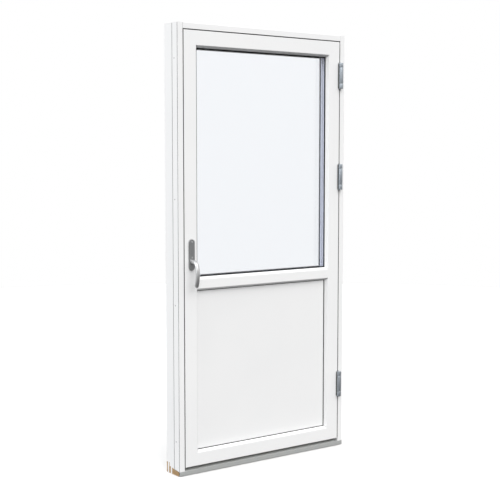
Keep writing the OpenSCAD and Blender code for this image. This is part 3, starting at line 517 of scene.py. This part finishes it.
sheet = Finish("painted_sheet").put(Specular_IOR_Level=0.45, Coat_Weight=0.05)
orange = sheet.noise(sheet.place, 480, 2)
cloud = sheet.noise(sheet.place, 3.1, 2)
sheet.tone(cloud, (0.812, 0.817, 0.822), (0.832, 0.835, 0.839))
sheet.link(sheet.spread(orange, 0.36, 0.46), "Roughness").relief(orange, 0.00006, 0.3)
dress("panel_front_sheet panel_back_sheet", sheet)

foam = Finish("blue_foam").put(Specular_IOR_Level=0.2, Roughness=0.9)
cells = foam.noise(foam.place, 700, 3)
foam.tone(cells, (0.42, 0.60, 0.75), (0.52, 0.70, 0.84))
foam.relief(cells, 0.0004, 0.6)
dress("panel_core", foam)

block = Finish("block_plastic").put(Specular_IOR_Level=0.4)
moulded = block.noise(block.place, 500, 2)
block.tone(moulded, (0.055, 0.06, 0.068), (0.075, 0.08, 0.09))
block.link(block.spread(moulded, 0.45, 0.6), "Roughness")
dress("setting_blocks", block)

# ---- hinges ---------------------------------------------------------------
# Each hinge is a pair of steel plates let into the leaf and the jamb. Their
# rolled knuckles turn on a fixed pin, on a plain washer.

hinge_steel = Finish("satin_hinge_steel").put(Metallic=0.85)
wipe = hinge_steel.noise(hinge_steel.scaled(400, 400, 900), detail=2)
hinge_steel.tone(wipe, (0.36, 0.40, 0.44), (0.43, 0.47, 0.51))
hinge_steel.link(hinge_steel.spread(wipe, 0.34, 0.46), "Roughness").relief(wipe, 0.00002, 0.5)
for place in ("bottom", "middle", "top"):
    dress(f"hinge_frame_plate_{place} hinge_leaf_plate_{place}", hinge_steel)
    soften(f"hinge_frame_plate_{place} hinge_leaf_plate_{place}", 0.0004)
dress("hinge_pins", hinge_steel)
dark_washer = Finish("oiled_bronze_washer").put(Metallic=0.8)
film = dark_washer.noise(dark_washer.place, 700, 2)
dark_washer.tone(film, (0.10, 0.085, 0.065), (0.16, 0.135, 0.10))
dark_washer.link(dark_washer.spread(film, 0.4, 0.55), "Roughness")
dress("hinge_washers", dark_washer)
soften("hinge_pins", 0.0006)
jamb_side, leaf_side = 0.467, 0.463
outer_row, inner_row = -0.0455, -0.0295
whole_hinge = (0.324, 1.3842, 1.890)
leaf_knuckle = (0.3265, 1.3867, 1.8925)
for name, face, turn, body, middles, spread_out, spread_in in (
        ("frame_hinge", jamb_side, math.pi, "frame", whole_hinge, 0.05225, 0.03425),
        ("leaf_hinge", leaf_side, 0.0, "leaf", leaf_knuckle, 0.028, 0.012)):
    fitted(copies(short_screw, name + "_wood_screws",
                  [(face, row, z + way * apart) for z in middles for way in (-1, 1)
                   for row, apart in ((outer_row, spread_out), (inner_row, spread_in))], turn),
           body, "zinc_steel", zinc, name + "_screws")
bpy.data.objects.remove(short_screw)

# ---- handle ---------------------------------------------------------------
# Cast levers on both sides turn in long plates, which are screwed together
# through the stile. Their metal is brushed and clear coated.


def handle_metal(name, metallic, dark, pale):
    metal = Finish(name).put(Metallic=metallic)
    brushed = metal.noise(metal.scaled(1200, 1200, 20), detail=2)
    metal.tone(brushed, dark, pale)
    return metal.link(metal.spread(brushed, 0.30, 0.40), "Roughness").relief(brushed, 0.00002, 0.5)


# The plates take a darker tone of the levers' metal, as painted shade.
dress("handle_plate_outer handle_plate_inner",
      handle_metal("plate_metal_painted_darker", 0.75, (0.285, 0.29, 0.295), (0.35, 0.355, 0.36)))
dress("lever_outer lever_inner",
      handle_metal("satin_lever_metal", 0.85, (0.50, 0.505, 0.51), (0.58, 0.585, 0.59)))
dress("spindle", zinc)
soften("handle_plate_outer handle_plate_inner", 0.0009, 3)
soften("spindle", 0.0004)

lever_line, head_face, head_depth, shank_length = -0.426, -0.0665, 0.0025, 0.0905
bpy.ops.mesh.primitive_cylinder_add(vertices=36, radius=0.0045, depth=head_depth,
                                    end_fill_type="NGON", rotation=(math.pi / 2, 0, 0),
                                    location=(0, head_face + head_depth / 2, 0))
added()
bpy.ops.object.mode_set(mode="EDIT")
pick(lambda face: face.normal.y > 0.9)
bpy.ops.mesh.inset(thickness=0.0020)
pull((0, shank_length, 0))
pick(lambda face: face.normal.y < -0.9)
bpy.ops.mesh.bevel(offset=0.0008, segments=3)
pick(lambda face: face.normal.y < -0.99 and len(face.verts) > 20)
bpy.ops.mesh.inset(thickness=0.0009)
pick(lambda point: point.co.y < head_face + 0.0001 and point.co.xz.length < 0.0031
     and round(math.degrees(math.atan2(point.co.z, point.co.x)) / 10) % 6 != 0, "points")
bpy.ops.transform.resize(value=(0.90, 1, 0.90), center_override=(0, 0, 0))
pick(lambda face: face.normal.y < -0.99 and face.calc_center_median().xz.length < 0.0005)
pull((0, 0.0018, 0), (0.9, 1, 0.9))
plate_screw = leave("plate_screw")
burnished = Finish("burnished_screw_steel").put(Metallic=0.9)
rub = burnished.noise(burnished.place, 800, 3)
burnished.tone(rub, (0.46, 0.465, 0.47), (0.58, 0.585, 0.59))
burnished.link(burnished.spread(rub, 0.3, 0.45), "Roughness")
fitted(copies(plate_screw, "handle_plate_screws", [(lever_line, 0, z) for z in (1.022, 1.093)]),
       "leaf", "screw_metal", burnished, "handle_screws")
bpy.data.objects.remove(plate_screw)

# ---- lock -----------------------------------------------------------------
# A rack and pinion lock drives three flat bolts from one long faceplate. Its
# parts are zinc plated steel, and six wood screws hold it in the stile.

dress("lock_case lock_faceplate bolt_bottom bolt_middle bolt_top drive_rod drive_pinion", zinc)
soften("lock_case lock_faceplate bolt_bottom bolt_middle bolt_top", 0.0003)
face_front, screw_line = -0.463, -0.0295
screw_heights = (0.225, 0.48, 0.76, 1.24, 1.52, 1.872)
long_screw = wood_screw(0.034, "long_screw")
fitted(copies(long_screw, "faceplate_wood_screws",
              [(face_front, screw_line, z) for z in screw_heights], math.pi),
       "leaf", "zinc_steel", zinc, "faceplate_screws")
bpy.data.objects.remove(long_screw)
